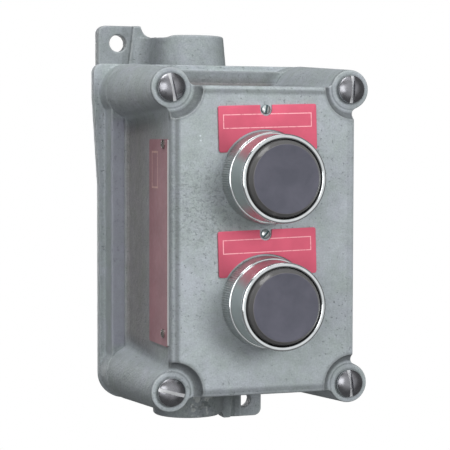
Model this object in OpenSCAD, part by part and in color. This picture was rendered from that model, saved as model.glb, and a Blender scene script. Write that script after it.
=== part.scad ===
// Surface control station with two push buttons in a cast metal enclosure.
// Sizes are millimetres. +Z is up, -Y faces the user, and Y = 0 is the wall behind the box.
// Every piece is drawn lying down, with its own z counted from the wall, and on_wall() stands it up.

/* [Enclosure] */
// Distance between the cover screws, left to right
screw_span_x = 97.6; // [96:0.2:100]
// Distance between the cover screws, top to bottom
screw_span_z = 154; // [152:0.5:158]
// Distance from the wall to the seats of the cover screws
seat_z = 148; // [146:1:154]
// Distance from the wall to the joint between box and cover
joint_z = 76; // [74:1:80]
// Height of the raised front panel over the screw seats
panel_rise = 5; // [4:0.5:6]
// Radius of a corner column at its screw seat
column_front_r = 10.3; // [9.8:0.1:10.6]
// Radius of a corner column at the joint
column_joint_r = 15.1; // [14.5:0.1:15.4]
// How far the cover's side walls spread from front to joint, on each side
wall_draft = 2.2; // [1:0.1:3]
// Thickness of the cast walls beside the cavity
wall = 6; // [5:0.5:7]

/* [Conduit hubs and lugs] */
// Outside radius of a conduit hub at its end
hub_r = 20.6; // [19.6:0.2:21]
// Height of a hub's end above the middle of the box
hub_end = 111; // [108:0.5:114]
// Radius of the conduit entry
entry_r = 15.9; // [15:0.1:16.2]
// Depth of the conduit entry
entry_depth = 20; // [18:1:22]
// Distance of a lug hole from the middle, left to right
lug_x = 39.1; // [38:0.1:40]
// Distance of a lug hole from the middle, top to bottom
lug_z = 107.3; // [106:0.1:108]
// Radius of a lug hole
lug_hole_r = 5; // [4.5:0.1:5.6]
// Thickness of a lug
lug_t = 8; // [7:0.5:9]

/* [Push buttons] */
// Height of the upper button above the middle
upper_z = 31.5; // [31:0.1:32.5]
// Height of the lower button above the middle
lower_z = -32; // [-33:0.1:-31]
// Outside radius of the bright guard ring at its lip
guard_r = 22; // [21.8:0.1:22.4]
// Height of the guard ring's lip over the front panel
guard_rise = 28; // [26:0.2:29]
// How far a cap stands in front of the guard ring's lip
cap_proud = 2.5; // [2:0.1:3]
// Travel of a button from rest to its stop
travel = 6; // [4:0.5:6]
// Radius of the plunger shaft
shaft_r = 3.95; // [3.8:0.05:4]

/* [Plates] */
// Width of a legend plate
legend_w = 53; // [50:0.5:54]
// Height of a legend plate
legend_h = 23.5; // [22:0.5:24]
// Turn of a legend plate about its screw, in degrees
legend_tilt = 1.7; // [0:0.1:2]
// Width of the nameplate on the left wall
nameplate_w = 30; // [26:0.5:30]
// Height of the nameplate
nameplate_h = 105; // [96:1:106]

/* [Hidden] */
screw_x = screw_span_x / 2;
screw_y = screw_span_z / 2;
panel_z = seat_z + panel_rise;
panel_half_x = screw_x + 1;
panel_half_y = screw_y + 2.1;
panel_drop = 1;
panel_edge_r = 2.8;
column_edge_r = 0.8;
seat_r = column_front_r + 0.3;
foot_out = 2;
foot_h = 3.5;
front_wall = 8;
cavity_x = panel_half_x - wall - 1;
cavity_y = panel_half_y - wall - 2;
pillar_r = 8.5;
inner_z = panel_z - front_wall;
draft_angle = atan(wall_draft / (panel_z - joint_z));

flange_out = 12;
rim_side = 15.4;
rim_top = 15.8;
rim_drop = 0.2;
rim_corner_r = 14;
flange_h = 14;
rim_h = 6;
rim_z = joint_z - flange_h - rim_h;
box_x = 47;
box_y = 78;
box_spread = 2.5;
bulge_out = 3;
bulge_corner_r = 5;
floor_t = 6;
ground_x = -26;
ground_y = -42;
lug_left = 51;
lug_top = 117.5;
lug_corner_r = 4.5;
rib_x = 30.4;
rib_foot_x = 36.4;
rib_h = 2.5;
saddle_x = 17.5;
saddle_r = 8.3;
saddle_y = hub_end - 1.1;
valley_r = 6.5;
hub_flare = 0.09;
throat_r = 13.2;

screw_shank_r = 3.95;
screw_head_r = 7.1;
screw_head_h = 4.4;
screw_slot_w = 1.9;
screw_length = 90;
screw_end_z = seat_z - screw_length;
screw_turns = [102.5, 88, -15.6, 97];
screw_places = [[-1, 1], [1, 1], [-1, -1], [1, -1]];

lip_z = panel_z + guard_rise;
ring_r = 24;
ring_h = 10.2;
ring_top = panel_z + ring_h;
guard_flange_r = ring_r - 0.8;
guard_foot_r = guard_r + 0.6;
guard_neck_r = guard_r - 0.6;
guard_bore_r = guard_r - 2.2;
guard_floor = ring_top + 3.8;
body_r = 15.3;
body_hole_r = 15.6;
gasket_t = 1;
body_flange_z = inner_z - gasket_t;
body_flange_h = 7;
body_rear = body_flange_z - body_flange_h;
body_flange_x = 20;
body_flange_y = 17;
spring_pit_r = 9;
spring_floor = ring_top - 6;
bushing_r = 7;
shaft_hole_r = shaft_r + 0.05;

cap_face = lip_z + cap_proud;
cap_r = guard_bore_r - 0.4;
cap_face_r = 17.3;
cap_back = guard_floor + travel + 0.6;
cap_roof = cap_face - 5;
cap_boss_r = 5.6;
clip_z = body_rear - 0.1;
clip_h = 1;

block_x = 20;
block_y = 17;
block_front = body_rear;
block_depth = 32;
block_rear = block_front - block_depth;
block_wall = 2.5;
block_lid_t = 2.5;
block_screw_x = 16.5;
block_screw_y = 13.5;
carrier_front = body_rear - 8;
carrier_rear = block_rear + 8;
carrier_length = carrier_front - carrier_rear;
carrier_x = 9;
carrier_y = 9.5;
bridge_t = 1;
bridge_w = 4.4;
bridge_slot_w = bridge_w + 0.2;
bridge_x = 14;
bridge_y = 6.2;
closed_bridge_z = carrier_front - 3;
open_bridge_z = carrier_rear + 2;
contact_gap = travel + 0.1;
terminal_x = 30;
carrier_spring_r = 3;
carrier_spring_top = carrier_rear + 8;

legend_rise = 34.7;
legend_top = 37;
legend_t = 1;
legend_corner_r = 1.2;
legend_ring_gap = 0.6;
notch_r = 3.3;
small_head_r = 2.35;
small_shank_r = 1.4;
small_hole_r = 1.45;
nameplate_t = 0.8;
nameplate_mid = seat_z - 14.8;
nameplate_drop = -1.5;
nameplate_screw_x = 9;
nameplate_screw_y = nameplate_h / 2 - 4.4;
nameplate_screw_lift = 1.9;

cast_grey = [0.55, 0.58, 0.58];
plate_red = [0.80, 0.20, 0.28];
steel = [0.72, 0.72, 0.73];
chrome = [0.85, 0.86, 0.87];
cap_grey = [0.27, 0.27, 0.30];
brass = [0.78, 0.64, 0.33];
silver = [0.86, 0.86, 0.84];
phenolic = [0.16, 0.14, 0.13];
rubber = [0.10, 0.10, 0.10];
ground_green = [0.15, 0.45, 0.22];

$fn = 72;

// Helpers

// Turns what is drawn lying down, z away from the wall, to stand against the wall.
module on_wall() {
    rotate([90, 0, 0]) children();
}

// Puts children at the axis of the upper or lower button.
module at_button(height) {
    on_wall() translate([0, height, 0]) children();
}

// Repeats children at the four corner screw axes.
module at_corners() {
    for (place = screw_places) translate([place[0] * screw_x, place[1] * screw_y, 0]) children();
}

// Repeats children half a turn apart about the middle of the box.
module both_ends() {
    for (turn = [0, 180]) rotate([0, 0, turn]) children();
}

// A tube or disc between two heights.
module ring(outer_r, inner_r, low, high) {
    translate([0, 0, low]) difference() {
        cylinder(r = outer_r, h = high - low);
        translate([0, 0, -1]) cylinder(r = inner_r, h = high - low + 2);
    }
}

// A slab with rounded corners, half_x by half_y, between two heights.
module rounded_slab(half_x, half_y, corner_r, low, high) {
    translate([0, 0, low]) linear_extrude(height = high - low) {
        square([2 * half_x, 2 * (half_y - corner_r)], center = true);
        square([2 * (half_x - corner_r), 2 * half_y], center = true);
        for (sx = [-1, 1]) for (sy = [-1, 1]) {
            translate([sx * (half_x - corner_r), sy * (half_y - corner_r)]) circle(r = corner_r);
        }
    }
}

// Section of a drafted wall pair: wide at low, narrow at high, with rounded upper edges.
module draft_section(low_half, high_half, low, high, edge_r) {
    polygon([
        [-low_half, low], [low_half, low],
        [high_half, high - edge_r], [high_half - edge_r, high],
        [edge_r - high_half, high], [-high_half, high - edge_r]
    ]);
    for (side = [-1, 1]) translate([side * (high_half - edge_r), high - edge_r]) circle(r = edge_r);
}

// A block drafted on all four sides, with rounded upper edges.
module drafted_block(low_x, high_x, low_y, high_y, low, high, edge_r) {
    intersection() {
        rotate([90, 0, 0]) linear_extrude(height = 4 * low_y, center = true) {
            draft_section(low_x, high_x, low, high, edge_r);
        }
        rotate([90, 0, 90]) linear_extrude(height = 4 * low_x, center = true) {
            draft_section(low_y, high_y, low, high, edge_r);
        }
    }
}

// A round post that narrows towards its rounded upper edge.
module tapered_post(low_r, high_r, low, high, edge_r) {
    rotate_extrude() {
        polygon([
            [0, low], [low_r, low], [high_r, high - edge_r],
            [high_r - edge_r, high], [0, high]
        ]);
        translate([high_r - edge_r, high - edge_r]) circle(r = edge_r);
    }
}

// A slotted round-head screw with its head's seat at height zero.
module slotted_screw(head_r, head_h, shank_r, shank_length, slot_w, turn) {
    rim_h = head_h * 0.45;
    dome_h = head_h - rim_h;
    dome_r = (head_r * head_r + dome_h * dome_h) / (2 * dome_h);
    difference() {
        intersection() {
            cylinder(r = head_r, h = head_h + 1);
            translate([0, 0, head_h - dome_r]) sphere(r = dome_r);
        }
        rotate([0, 0, turn]) translate([-head_r - 1, -slot_w / 2, head_h * 0.32]) {
            cube([2 * head_r + 2, slot_w, head_h]);
        }
    }
    translate([0, 0, -shank_length]) cylinder(r = shank_r, h = shank_length + 0.5);
}

// A coil of square wire, with its lower end at height zero.
module coil(mean_r, wire, height, turns) {
    band = 360 * wire * turns / height;
    steps = 4;
    outer = [for (i = [0 : steps]) let (a = band * i / steps) (mean_r + wire / 2) * [cos(a), sin(a)]];
    inner = [for (i = [steps : -1 : 0]) let (a = band * i / steps) (mean_r - wire / 2) * [cos(a), sin(a)]];
    linear_extrude(height = height, twist = -360 * turns, slices = turns * 20, segments = 0, $fn = 8) {
        polygon(concat(outer, inner));
    }
}

// Enclosure

// Outline of a lug as seen from the front, with the web that joins it to its hub.
module lug_plate() {
    linear_extrude(height = lug_t) {
        translate([-lug_left, box_y - 10]) {
            square([lug_left - saddle_x, lug_top - lug_corner_r - box_y + 10]);
        }
        translate([lug_corner_r - lug_left, box_y]) {
            square([lug_left - lug_corner_r - saddle_x, lug_top - box_y]);
        }
        translate([lug_corner_r - lug_left, lug_top - lug_corner_r]) circle(r = lug_corner_r);
        translate([-saddle_x, box_y - 10]) square([saddle_x, saddle_y - box_y + 10]);
    }
}

// The raised rib beside a lug's hole, wider towards the box.
module lug_rib() {
    linear_extrude(height = lug_t + rib_h) polygon([
        [-rib_x, lug_top], [-rib_foot_x, box_y - 10], [-saddle_x, box_y - 10], [-saddle_x, lug_top]
    ]);
}

// Section of the hollow that carries the rib round into the side of the hub.
module valley_section() {
    rise = lug_t + rib_h;
    lean = hub_r - rise - valley_r;
    reach = sqrt(pow(hub_r + valley_r, 2) - pow(lean, 2));
    share = hub_r / (hub_r + valley_r);
    difference() {
        polygon([[-reach, 0], [0, 0], [0, hub_r], [-reach * share, hub_r - lean * share], [-reach, rise]]);
        translate([-reach, rise + valley_r]) circle(r = valley_r);
    }
}

module lug() {
    difference() {
        union() {
            lug_plate();
            lug_rib();
            translate([0, lug_top, 0]) rotate([90, 0, 0]) {
                linear_extrude(height = lug_top - box_y + 10) valley_section();
            }
        }
        translate([-saddle_x, saddle_y, -1]) cube([2 * saddle_x, lug_top, 2 * hub_r]);
    }
}

// A conduit hub, flared towards the box and flat where it meets the wall.
module hub() {
    foot_r = hub_r + hub_flare * (hub_end - box_y + 12);
    difference() {
        translate([0, 0, hub_r]) rotate([-90, 0, 0]) {
            translate([0, 0, box_y - 12]) tapered_post(foot_r, hub_r, 0, hub_end - box_y + 12, 1);
        }
        translate([-2 * hub_r, 0, -2 * hub_r]) cube([4 * hub_r, 2 * hub_end, 2 * hub_r]);
    }
}

module lug_and_hub() {
    difference() {
        union() {
            lug();
            hub();
        }
        translate([-saddle_x, saddle_y + saddle_r, -1]) cylinder(r = saddle_r, h = 2 * hub_r);
        translate([-lug_x, lug_z, -1]) cylinder(r = lug_hole_r, h = lug_t + 2);
    }
}

// The corner beside each lug stands out a little, is fuller, and runs back into the side.
module corner_bulge() {
    left = screw_x + rim_side + bulge_out;
    top = screw_y + rim_top - rim_drop;
    translate([0, 0, rim_z]) linear_extrude(height = rim_h) {
        translate([bulge_corner_r - left, top - bulge_corner_r]) circle(r = bulge_corner_r);
        polygon([
            [-left, top - bulge_corner_r], [-left, screw_y - 3], [-screw_x - rim_side, screw_y / 3],
            [-screw_x, screw_y / 3], [-screw_x, top], [bulge_corner_r - left, top]
        ]);
    }
}

module hub_bore() {
    translate([0, 0, hub_r]) rotate([-90, 0, 0]) {
        translate([0, 0, cavity_y - 1]) cylinder(r = throat_r, h = hub_end);
        translate([0, 0, hub_end - entry_depth]) cylinder(r = entry_r, h = entry_depth + 1);
    }
}

module back_box() {
    color(cast_grey) on_wall() difference() {
        union() {
            mirror([0, 0, 1]) translate([0, 0, -rim_z - 1]) {
                drafted_block(box_x + box_spread, box_x, box_y + box_spread, box_y, 0, rim_z + 1, 1.5);
            }
            translate([0, -rim_drop, 0]) {
                rounded_slab(screw_x + rim_side, screw_y + rim_top, rim_corner_r, rim_z, rim_z + rim_h);
            }
            rounded_slab(screw_x + flange_out, screw_y + flange_out, flange_out, rim_z, joint_z);
            at_corners() translate([0, 0, rim_z]) {
                cylinder(r1 = rim_side, r2 = column_joint_r, h = joint_z - rim_z);
            }
            both_ends() {
                lug_and_hub();
                corner_bulge();
            }
        }
        difference() {
            translate([-cavity_x, -cavity_y, floor_t]) cube([2 * cavity_x, 2 * cavity_y, joint_z]);
            at_corners() translate([0, 0, screw_end_z - 10]) cylinder(r = pillar_r, h = joint_z);
            translate([ground_x, ground_y, 0]) cylinder(r = 6, h = floor_t + 6);
        }
        translate([ground_x, ground_y, floor_t - 2]) cylinder(r = 2.05, h = 20);
        both_ends() hub_bore();
        at_corners() translate([0, 0, screw_end_z - 1]) cylinder(r = screw_shank_r + 0.05, h = joint_z);
    }
}

// The hollow round a screw's seat, coved up to the front panel.
module seat_hollow() {
    translate([0, 0, seat_z]) rotate_extrude() {
        square([seat_r, panel_rise + 1]);
        intersection() {
            translate([seat_r, panel_rise]) circle(r = panel_rise);
            square([seat_r + panel_rise, panel_rise]);
        }
        translate([0, panel_rise]) square([seat_r + panel_rise, 1]);
    }
}

module cover() {
    color(cast_grey) on_wall() difference() {
        union() {
            translate([0, -panel_drop, 0]) {
                drafted_block(
                    panel_half_x + wall_draft, panel_half_x, panel_half_y + wall_draft, panel_half_y,
                    joint_z, panel_z, panel_edge_r
                );
                rounded_slab(
                    panel_half_x + wall_draft + foot_out, panel_half_y + wall_draft + foot_out, 3,
                    joint_z, joint_z + foot_h
                );
            }
            at_corners() tapered_post(column_joint_r, column_front_r, joint_z, seat_z, column_edge_r);
        }
        at_corners() {
            seat_hollow();
            cylinder(r = screw_shank_r + 0.5, h = panel_z);
        }
        difference() {
            translate([-cavity_x, -cavity_y, joint_z - 1]) {
                cube([2 * cavity_x, 2 * cavity_y, inner_z - joint_z + 1]);
            }
            at_corners() translate([0, 0, joint_z - 2]) cylinder(r = pillar_r, h = panel_z);
        }
        for (height = [upper_z, lower_z]) translate([0, height, inner_z - 1]) {
            cylinder(r = body_hole_r, h = front_wall + 2);
            translate([0, legend_rise, 3]) cylinder(r = small_hole_r, h = front_wall);
        }
        nameplate_screw_places() translate([0, 0, -5]) cylinder(r = small_hole_r, h = 8);
    }
}

module cover_screws() {
    color(steel) on_wall() for (i = [0 : 3]) {
        translate([screw_places[i][0] * screw_x, screw_places[i][1] * screw_y, seat_z]) {
            slotted_screw(
                screw_head_r, screw_head_h, screw_shank_r, screw_length, screw_slot_w, screw_turns[i]
            );
        }
    }
}

module ground_screw() {
    color(ground_green) on_wall() translate([ground_x, ground_y, floor_t + 6]) {
        slotted_screw(4, 2.4, 2, 7, 1, 30);
    }
}

// Nameplate on the left wall

// Lays children on the drafted left wall, z outwards, x towards the front and y up.
module on_left_wall() {
    middle = (panel_z - nameplate_mid) * tan(draft_angle);
    translate([-panel_half_x - middle, nameplate_drop, nameplate_mid]) {
        rotate([0, -90 + draft_angle, 0]) children();
    }
}

module nameplate_screw_places() {
    for (side = [-1, 1]) on_left_wall() {
        translate([nameplate_screw_x, nameplate_screw_lift + side * nameplate_screw_y, 0]) children();
    }
}

module nameplate() {
    color(plate_red) on_wall() difference() {
        on_left_wall() rounded_slab(nameplate_w / 2, nameplate_h / 2, 1.2, 0, nameplate_t);
        nameplate_screw_places() translate([0, 0, -1]) cylinder(r = small_hole_r, h = 4);
    }
}

module nameplate_screws() {
    color(steel) on_wall() nameplate_screw_places() translate([0, 0, nameplate_t]) {
        slotted_screw(small_head_r, 1.4, small_shank_r, 4.5, 0.7, 60);
    }
}

// Legend plates on the front panel

module legend_plate() {
    translate([0, 0, panel_z]) difference() {
        translate([0, legend_rise, 0]) rotate([0, 0, legend_tilt]) {
            translate([0.8, legend_top - legend_rise - legend_h / 2, 0]) {
                rounded_slab(legend_w / 2, legend_h / 2, legend_corner_r, 0, legend_t);
            }
        }
        translate([0, legend_rise, -1]) {
            cylinder(r = notch_r, h = legend_t + 2);
            translate([-notch_r, 0, 0]) cube([2 * notch_r, legend_h, legend_t + 2]);
        }
        translate([0, 0, -1]) cylinder(r = ring_r + legend_ring_gap, h = legend_t + 2);
    }
}

module upper_legend_plate() {
    color(plate_red) at_button(upper_z) legend_plate();
}

module lower_legend_plate() {
    color(plate_red) at_button(lower_z) legend_plate();
}

module legend_screws() {
    color(steel) for (place = [[upper_z, 80], [lower_z, 50]]) at_button(place[0]) {
        translate([0, legend_rise, panel_z]) {
            slotted_screw(small_head_r + 0.15, 1.9, small_shank_r, 5, 0.8, place[1]);
        }
    }
}

// Fixed pieces of one operator

module clamp_ring() {
    difference() {
        union() {
            translate([0, 0, panel_z]) cylinder(r1 = ring_r, r2 = guard_flange_r, h = ring_h - 1);
            translate([0, 0, ring_top - 1]) cylinder(r1 = guard_flange_r, r2 = guard_flange_r - 0.3, h = 1);
        }
        translate([0, 0, panel_z - 1]) cylinder(r = body_r + 0.1, h = ring_h + 2);
    }
}

module guard_ring() {
    difference() {
        union() {
            translate([0, 0, ring_top]) cylinder(r = guard_flange_r, h = 1);
            translate([0, 0, ring_top]) {
                cylinder(r1 = guard_foot_r, r2 = guard_neck_r, h = lip_z - ring_top - 1);
            }
            translate([0, 0, lip_z - 2.4]) rotate_extrude() {
                square([guard_r - 1.2, 2.4]);
                translate([guard_r - 1.2, 1.2]) circle(r = 1.2);
            }
        }
        translate([0, 0, ring_top - 1]) cylinder(r = body_r + 0.1, h = 20);
        translate([0, 0, guard_floor]) cylinder(r = guard_bore_r, h = 20);
    }
}

module operator_body() {
    difference() {
        union() {
            translate([0, 0, body_flange_z]) cylinder(r = body_r, h = guard_floor - body_flange_z);
            rounded_slab(body_flange_x, body_flange_y, 3, body_rear, body_flange_z);
        }
        translate([0, 0, spring_floor]) cylinder(r = spring_pit_r, h = 40);
        translate([0, 0, body_rear - 1]) cylinder(r = bushing_r + 0.02, h = spring_floor);
        block_screw_places() translate([0, 0, body_rear - 1]) cylinder(r = 1.7, h = body_flange_h - 0.5);
    }
}

module shaft_bushing() {
    ring(bushing_r, shaft_hole_r, body_rear, spring_floor);
}

module panel_gasket() {
    translate([0, 0, body_flange_z]) difference() {
        rounded_slab(body_flange_x, body_flange_y, 3, 0, gasket_t);
        translate([0, 0, -1]) cylinder(r = body_r + 0.3, h = gasket_t + 2);
    }
}

// Moving pieces of one operator

module button_cap() {
    difference() {
        union() {
            translate([0, 0, cap_back]) cylinder(r = cap_r, h = cap_face - 3.6 - cap_back);
            translate([0, 0, cap_face - 3.6]) cylinder(r1 = cap_r, r2 = cap_face_r + 0.4, h = 3);
            translate([0, 0, cap_face - 0.6]) cylinder(r1 = cap_face_r + 0.4, r2 = cap_face_r, h = 0.6);
        }
        difference() {
            translate([0, 0, cap_back - 1]) cylinder(r = cap_r - 2.5, h = cap_roof - cap_back + 1);
            translate([0, 0, cap_back - 2]) cylinder(r = cap_boss_r, h = cap_face);
        }
        translate([0, 0, cap_back - 1]) cylinder(r = shaft_hole_r, h = cap_face - 2.5 - cap_back + 1);
    }
}

module plunger_shaft() {
    difference() {
        translate([0, 0, carrier_front]) cylinder(r = shaft_r, h = cap_face - 2.5 - carrier_front);
        ring(shaft_r + 1, shaft_r - 0.8, clip_z - clip_h, clip_z);
    }
}

module shaft_clip() {
    difference() {
        ring(bushing_r - 0.4, shaft_r - 0.75, clip_z - clip_h + 0.02, clip_z - 0.02);
        translate([-1.9, -10, clip_z - 2]) cube([3.8, 10, 4]);
    }
}

module return_spring() {
    translate([0, 0, spring_floor]) coil(7.2, 1.3, cap_roof - spring_floor, 5);
}

// Contact block of one operator

module block_screw_places() {
    for (side = [-1, 1]) translate([side * block_screw_x, side * block_screw_y, 0]) children();
}

module contact_housing() {
    inner_x = block_x - block_wall;
    inner_y = block_y - block_wall;
    closed_seat = closed_bridge_z;
    open_seat = open_bridge_z - bridge_t - contact_gap;
    difference() {
        rounded_slab(block_x, block_y, 2, block_rear, block_front);
        difference() {
            translate([-inner_x, -inner_y, block_rear - 1]) {
                cube([2 * inner_x, 2 * inner_y, block_depth - 3]);
            }
            block_screw_places() translate([0, 0, block_rear - 2]) cylinder(r = 4, h = block_depth);
            for (side = [-1, 1]) translate([-4, side * (carrier_y + 2.3) - 2, block_rear]) {
                cube([8, 4, block_depth]);
            }
        }
        translate([0, 0, block_rear]) cylinder(r = bushing_r + 1.2, h = block_depth + 1);
        block_screw_places() translate([0, 0, block_rear - 1]) cylinder(r = 1.8, h = block_depth + 2);
        for (side = [-1, 1]) {
            translate([side * block_x - 4, bridge_y - bridge_slot_w / 2, closed_seat]) {
                cube([8, bridge_slot_w, 1.1]);
            }
            translate([side * block_x - 4, -bridge_y - bridge_slot_w / 2, open_seat - 1.1]) {
                cube([8, bridge_slot_w, 1.1]);
            }
        }
    }
}

module contact_lid() {
    difference() {
        rounded_slab(block_x, block_y, 2, block_rear - block_lid_t, block_rear);
        block_screw_places() translate([0, 0, block_rear - 5]) cylinder(r = 1.8, h = 8);
    }
}

module block_screws() {
    length = block_depth + block_lid_t + 4;
    block_screw_places() translate([0, 0, block_rear - block_lid_t]) mirror([0, 0, 1]) {
        slotted_screw(3, 1.8, 1.65, length, 0.8, 20);
    }
}

module contact_carrier() {
    difference() {
        translate([-carrier_x, -carrier_y, carrier_rear]) {
            cube([2 * carrier_x, 2 * carrier_y, carrier_length]);
        }
        translate([-carrier_x - 1, bridge_y - bridge_slot_w / 2, closed_bridge_z - bridge_t]) {
            cube([2 * carrier_x + 2, bridge_slot_w, bridge_t]);
        }
        translate([-carrier_x - 1, -bridge_y - bridge_slot_w / 2, open_bridge_z - bridge_t]) {
            cube([2 * carrier_x + 2, bridge_slot_w, bridge_t]);
        }
        translate([0, 0, carrier_rear - 1]) {
            cylinder(r = carrier_spring_r + 1, h = carrier_spring_top - carrier_rear + 1);
        }
    }
}

module carrier_spring() {
    translate([0, 0, block_rear]) coil(carrier_spring_r, 0.8, carrier_spring_top - block_rear, 6);
}

// A flat bar across the carrier, with its front face at the height given.
module bridge(front_z, y) {
    translate([-bridge_x, y - bridge_w / 2, front_z - bridge_t]) cube([2 * bridge_x, bridge_w, bridge_t]);
}

module closed_bridge() {
    bridge(closed_bridge_z, bridge_y);
}

module open_bridge() {
    bridge(open_bridge_z, -bridge_y);
}

// One pair of fixed contacts, left and right, each a flat bar from its tip to its terminal.
module contact_pair(low, y) {
    for (side = [-1, 1]) difference() {
        translate([side > 0 ? 10.5 : -terminal_x, y - bridge_w / 2, low]) {
            cube([terminal_x - 10.5, bridge_w, 1]);
        }
        translate([side * (terminal_x - 4), y, low - 1]) cylinder(r = 1.55, h = 3);
    }
}

module closed_contacts() {
    contact_pair(closed_bridge_z + 0.05, bridge_y);
}

module open_contacts() {
    contact_pair(open_bridge_z - bridge_t - contact_gap - 1.05, -bridge_y);
}

module terminal_screws() {
    closed_low = closed_bridge_z + 0.05;
    open_low = open_bridge_z - bridge_t - contact_gap - 1.05;
    for (side = [-1, 1]) {
        translate([side * (terminal_x - 4), bridge_y, closed_low]) mirror([0, 0, 1]) {
            slotted_screw(2.9, 1.8, 1.5, 4, 0.7, 35 * side);
        }
        translate([side * (terminal_x - 4), -bridge_y, open_low]) mirror([0, 0, 1]) {
            slotted_screw(2.9, 1.8, 1.5, 4, 0.7, 50 * side);
        }
    }
}

module upper_clamp_ring() { color(steel) at_button(upper_z) clamp_ring(); }
module lower_clamp_ring() { color(steel) at_button(lower_z) clamp_ring(); }
module upper_guard_ring() { color(chrome) at_button(upper_z) guard_ring(); }
module lower_guard_ring() { color(chrome) at_button(lower_z) guard_ring(); }
module upper_operator_body() { color(steel) at_button(upper_z) operator_body(); }
module lower_operator_body() { color(steel) at_button(lower_z) operator_body(); }
module upper_shaft_bushing() { color(brass) at_button(upper_z) shaft_bushing(); }
module lower_shaft_bushing() { color(brass) at_button(lower_z) shaft_bushing(); }
module upper_panel_gasket() { color(rubber) at_button(upper_z) panel_gasket(); }
module lower_panel_gasket() { color(rubber) at_button(lower_z) panel_gasket(); }
module upper_button_cap() { color(cap_grey) at_button(upper_z) button_cap(); }
module lower_button_cap() { color(cap_grey) at_button(lower_z) button_cap(); }
module upper_plunger_shaft() { color(steel) at_button(upper_z) plunger_shaft(); }
module lower_plunger_shaft() { color(steel) at_button(lower_z) plunger_shaft(); }
module upper_return_spring() { color(steel) at_button(upper_z) return_spring(); }
module lower_return_spring() { color(steel) at_button(lower_z) return_spring(); }
module upper_shaft_clip() { color(steel) at_button(upper_z) shaft_clip(); }
module lower_shaft_clip() { color(steel) at_button(lower_z) shaft_clip(); }
module upper_contact_housing() { color(phenolic) at_button(upper_z) contact_housing(); }
module lower_contact_housing() { color(phenolic) at_button(lower_z) contact_housing(); }
module upper_contact_lid() { color(phenolic) at_button(upper_z) contact_lid(); }
module lower_contact_lid() { color(phenolic) at_button(lower_z) contact_lid(); }
module upper_block_screws() { color(steel) at_button(upper_z) block_screws(); }
module lower_block_screws() { color(steel) at_button(lower_z) block_screws(); }
module upper_contact_carrier() { color(plate_red) at_button(upper_z) contact_carrier(); }
module lower_contact_carrier() { color(plate_red) at_button(lower_z) contact_carrier(); }
module upper_carrier_spring() { color(steel) at_button(upper_z) carrier_spring(); }
module lower_carrier_spring() { color(steel) at_button(lower_z) carrier_spring(); }
module upper_closed_bridge() { color(silver) at_button(upper_z) closed_bridge(); }
module lower_closed_bridge() { color(silver) at_button(lower_z) closed_bridge(); }
module upper_open_bridge() { color(silver) at_button(upper_z) open_bridge(); }
module lower_open_bridge() { color(silver) at_button(lower_z) open_bridge(); }
module upper_closed_contacts() { color(brass) at_button(upper_z) closed_contacts(); }
module lower_closed_contacts() { color(brass) at_button(lower_z) closed_contacts(); }
module upper_open_contacts() { color(brass) at_button(upper_z) open_contacts(); }
module lower_open_contacts() { color(brass) at_button(lower_z) open_contacts(); }
module upper_terminal_screws() { color(brass) at_button(upper_z) terminal_screws(); }
module lower_terminal_screws() { color(brass) at_button(lower_z) terminal_screws(); }

back_box();
cover();
cover_screws();
nameplate();
nameplate_screws();
legend_screws();
ground_screw();
upper_legend_plate();
upper_clamp_ring();
upper_guard_ring();
upper_operator_body();
upper_shaft_bushing();
upper_panel_gasket();
upper_button_cap();
upper_plunger_shaft();
upper_return_spring();
upper_shaft_clip();
upper_contact_housing();
upper_contact_lid();
upper_block_screws();
upper_contact_carrier();
upper_carrier_spring();
upper_closed_bridge();
upper_open_bridge();
upper_closed_contacts();
upper_open_contacts();
upper_terminal_screws();
lower_legend_plate();
lower_clamp_ring();
lower_guard_ring();
lower_operator_body();
lower_shaft_bushing();
lower_panel_gasket();
lower_button_cap();
lower_plunger_shaft();
lower_return_spring();
lower_shaft_clip();
lower_contact_housing();
lower_contact_lid();
lower_block_screws();
lower_contact_carrier();
lower_carrier_spring();
lower_closed_bridge();
lower_open_bridge();
lower_closed_contacts();
lower_open_contacts();
lower_terminal_screws();
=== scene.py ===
import math

import bmesh
import bpy
from mathutils import Matrix, Vector


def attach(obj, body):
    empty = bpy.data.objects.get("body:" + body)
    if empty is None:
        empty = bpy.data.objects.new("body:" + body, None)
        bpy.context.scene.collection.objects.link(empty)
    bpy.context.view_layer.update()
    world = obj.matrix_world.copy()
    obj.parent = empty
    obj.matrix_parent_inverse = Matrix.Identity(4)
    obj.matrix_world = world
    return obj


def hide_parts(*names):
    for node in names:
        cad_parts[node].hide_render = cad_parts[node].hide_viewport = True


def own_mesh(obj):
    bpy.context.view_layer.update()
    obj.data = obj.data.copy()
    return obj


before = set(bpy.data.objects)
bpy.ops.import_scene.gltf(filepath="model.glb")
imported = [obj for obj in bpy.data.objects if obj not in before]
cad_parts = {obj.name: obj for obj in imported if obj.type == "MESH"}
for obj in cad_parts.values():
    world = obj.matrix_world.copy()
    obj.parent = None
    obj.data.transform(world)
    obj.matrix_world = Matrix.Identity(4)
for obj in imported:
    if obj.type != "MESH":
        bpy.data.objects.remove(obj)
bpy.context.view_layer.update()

# Pieces are drawn lying down in millimetres, with z the distance from the wall and y up.
STAND = Matrix.Rotation(math.pi / 2, 4, "X") @ Matrix.Scale(0.001, 4)
TURN = 2 * math.pi

# Cover: joint with the box, screw seats and raised panel
JOINT_Z = 76.0
SEAT_Z = 148.0
PANEL_Z = 153.0
PANEL_HALF_X = 49.8
PANEL_HALF_Y = 79.1
PANEL_DROP = 1.0
DRAFT = 2.2
SCREW_X = 48.8
SCREW_Y = 77.0
COLUMN_TOP = 10.3
COLUMN_GROWTH = 4.8

# Hubs: their ends and axis, and each entry's depth and thread
HUB_END = 111.0
HUB_AXIS_Z = 20.6
ENTRY_DEPTH = 20.0
ENTRY_ROOT = 16.15
ENTRY_CREST = 15.2
ENTRY_PITCH = 2.21

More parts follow.
